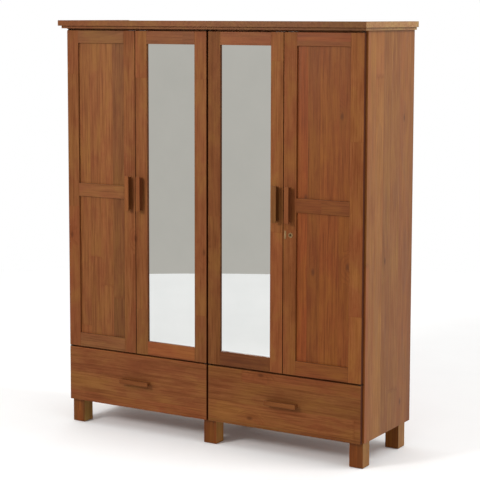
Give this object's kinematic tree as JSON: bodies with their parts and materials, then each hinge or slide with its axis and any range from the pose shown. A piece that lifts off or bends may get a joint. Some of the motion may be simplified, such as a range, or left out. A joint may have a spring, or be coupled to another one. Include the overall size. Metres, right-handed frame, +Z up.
{
  "type": "armoire",
  "caption": "Stained pine armoire with panelled outer doors, full-length mirrored inner doors, drawers below, a stepped cornice and square legs.",
  "frame": {"origin": "middle of the footprint of the whole box, on the floor", "axes": "+Z up, doors and drawers face -Y, +X to the right of a person facing the doors"},
  "size_m": [1.526, 0.497, 1.829],
  "materials": {
    "stained_pine": "reddish brown stain under satin varnish",
    "carcass_pine": "reddish brown stain, thin varnish",
    "drawer_pine": "clear sealed",
    "back_board": "stained plywood",
    "hardboard": "raw hardboard",
    "mirror": "silvered glass",
    "lock_brass": "aged satin brass",
    "zinc_steel": "bright zinc plated",
    "bronzed_steel": "dark bronzed",
    "rod_steel": "chromed",
    "brown_plastic": "moulded"
  },
  "bodies": {
    "carcass": {"back_panels": "back_board", "back_screws": "zinc_steel", "bottom_panel": "carcass_pine", "centre_divider": "carcass_pine", "cornice_boards": "stained_pine", "cornice_steps": "stained_pine", "deck_panel": "carcass_pine", "door_catches": "brown_plastic", "drawer_divider": "carcass_pine", "drawer_runner_rails": "zinc_steel", "hanging_rod": "rod_steel", "leg_glides": "brown_plastic", "legs_front": "stained_pine", "legs_rear": "stained_pine", "pivot_brackets": "bronzed_steel", "rod_sockets": "rod_steel", "shelf_pins": "zinc_steel", "shelves": "carcass_pine", "side_panel_left": "stained_pine", "side_panel_right": "stained_pine", "top_panel": "carcass_pine"},
    "door_1": {"door_1_fittings": "bronzed_steel", "door_1_handle": "stained_pine", "door_1_panels": "stained_pine", "door_1_rails": "stained_pine", "door_1_stiles": "stained_pine"},
    "door_2": {"door_2_backing": "hardboard", "door_2_beads": "stained_pine", "door_2_fittings": "bronzed_steel", "door_2_handle": "stained_pine", "door_2_mirror": "mirror", "door_2_rails": "stained_pine", "door_2_stiles": "stained_pine"},
    "door_3": {"door_3_backing": "hardboard", "door_3_beads": "stained_pine", "door_3_fittings": "bronzed_steel", "door_3_handle": "stained_pine", "door_3_mirror": "mirror", "door_3_rails": "stained_pine", "door_3_stiles": "stained_pine", "lock_strike": "zinc_steel"},
    "door_4": {"door_4_fittings": "bronzed_steel", "door_4_handle": "stained_pine", "door_4_panels": "stained_pine", "door_4_rails": "stained_pine", "door_4_stiles": "stained_pine", "lock_case": "zinc_steel", "lock_plates": "lock_brass"},
    "drawer_left": {"drawer_left_bottom": "drawer_pine", "drawer_left_box_boards": "drawer_pine", "drawer_left_front": "stained_pine", "drawer_left_handle": "stained_pine", "drawer_left_slides": "zinc_steel"},
    "drawer_right": {"drawer_right_bottom": "drawer_pine", "drawer_right_box_boards": "drawer_pine", "drawer_right_front": "stained_pine", "drawer_right_handle": "stained_pine", "drawer_right_slides": "zinc_steel"},
    "lock_bolt": {"lock_bolt": "zinc_steel"},
    "lock_plug": {"lock_plug": "lock_brass"}
  },
  "joints": [
    {"name": "door_1_hinge", "type": "hinge", "parent": "carcass", "child": "door_1", "pos_m": [-0.7315, -0.2055, 1.07425], "axis": [0, 0, -1], "range_deg": [0, 110]},
    {"name": "door_2_hinge", "type": "hinge", "parent": "carcass", "child": "door_2", "pos_m": [-0.0115, -0.2055, 1.07425], "axis": [0, 0, 1], "range_deg": [0, 84]},
    {"name": "door_3_hinge", "type": "hinge", "parent": "carcass", "child": "door_3", "pos_m": [0.0115, -0.2055, 1.07425], "axis": [0, 0, -1], "range_deg": [0, 84]},
    {"name": "door_4_hinge", "type": "hinge", "parent": "carcass", "child": "door_4", "pos_m": [0.7315, -0.2055, 1.07425], "axis": [0, 0, 1], "range_deg": [0, 110]},
    {"name": "drawer_left_slide", "type": "slide", "parent": "carcass", "child": "drawer_left", "axis": [0, -1, 0], "range_m": [0, 0.32]},
    {"name": "drawer_right_slide", "type": "slide", "parent": "carcass", "child": "drawer_right", "axis": [0, -1, 0], "range_m": [0, 0.32]},
    {"name": "lock_plug_turn", "type": "hinge", "parent": "door_4", "child": "lock_plug", "pos_m": [0.407, -0.2135, 0.948], "axis": [0, -1, 0], "range_deg": [0, 90]},
    {"name": "lock_bolt_slide", "type": "slide", "parent": "door_4", "child": "lock_bolt", "axis": [-1, 0, 0], "range_m": [0, 0.009]}
  ],
  "couplings": [
    {"joint": "lock_plug_turn", "follows": "lock_bolt_slide", "rad_per_m": 174.4}
  ]
}
